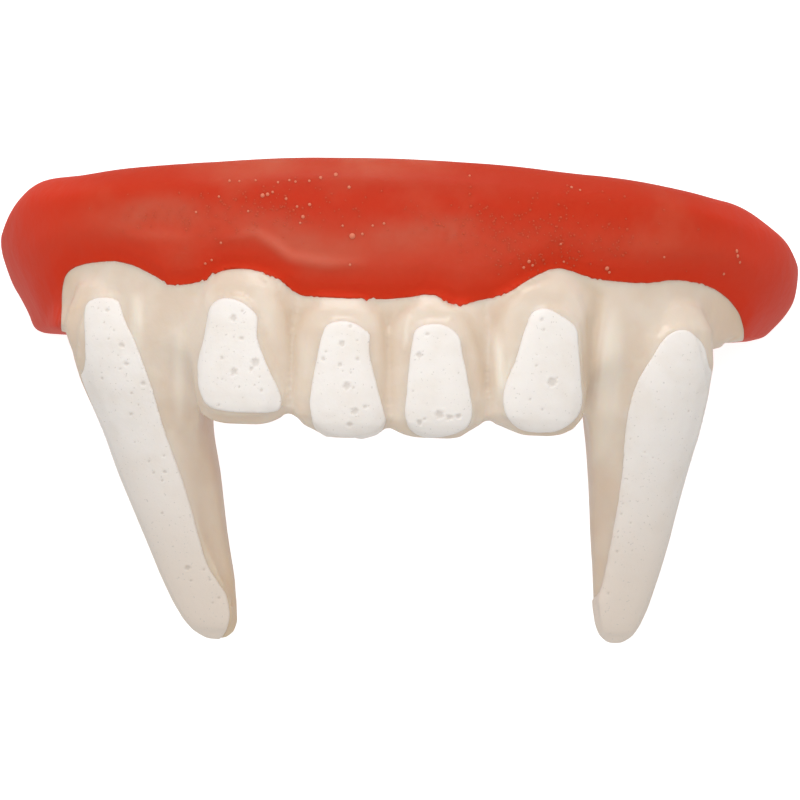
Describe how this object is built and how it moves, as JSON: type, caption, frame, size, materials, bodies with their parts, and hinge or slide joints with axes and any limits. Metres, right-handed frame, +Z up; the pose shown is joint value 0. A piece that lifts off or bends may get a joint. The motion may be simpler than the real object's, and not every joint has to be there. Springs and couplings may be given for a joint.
{
  "type": "costume fang denture",
  "caption": "Soft upper costume denture: a red gum channel that slips over the wearer's teeth, with cream incisors and long fangs faced in white.",
  "frame": {"origin": "centre of the bounding box's base, on the surface that the heels and fang tips rest on", "axes": "+X to the viewer's right along the row of teeth, -Y towards the fang tips, +Z up from the surface it lies on"},
  "size_m": [0.0658, 0.0366, 0.0291],
  "materials": {
    "gum": "soft vinyl, smooth and waxy, with a few small bubbles",
    "tooth": "soft vinyl, cream and a little see-through, satin",
    "face": "soft vinyl, opaque white, satin with small pits"
  },
  "bodies": {
    "root": {"gum": "gum", "tooth_casting": "tooth", "lateral_face_left": "face", "central_face_left": "face", "central_face_right": "face", "lateral_face_right": "face", "fang_face_left": "face", "fang_face_right": "face"}
  },
  "joints": []
}
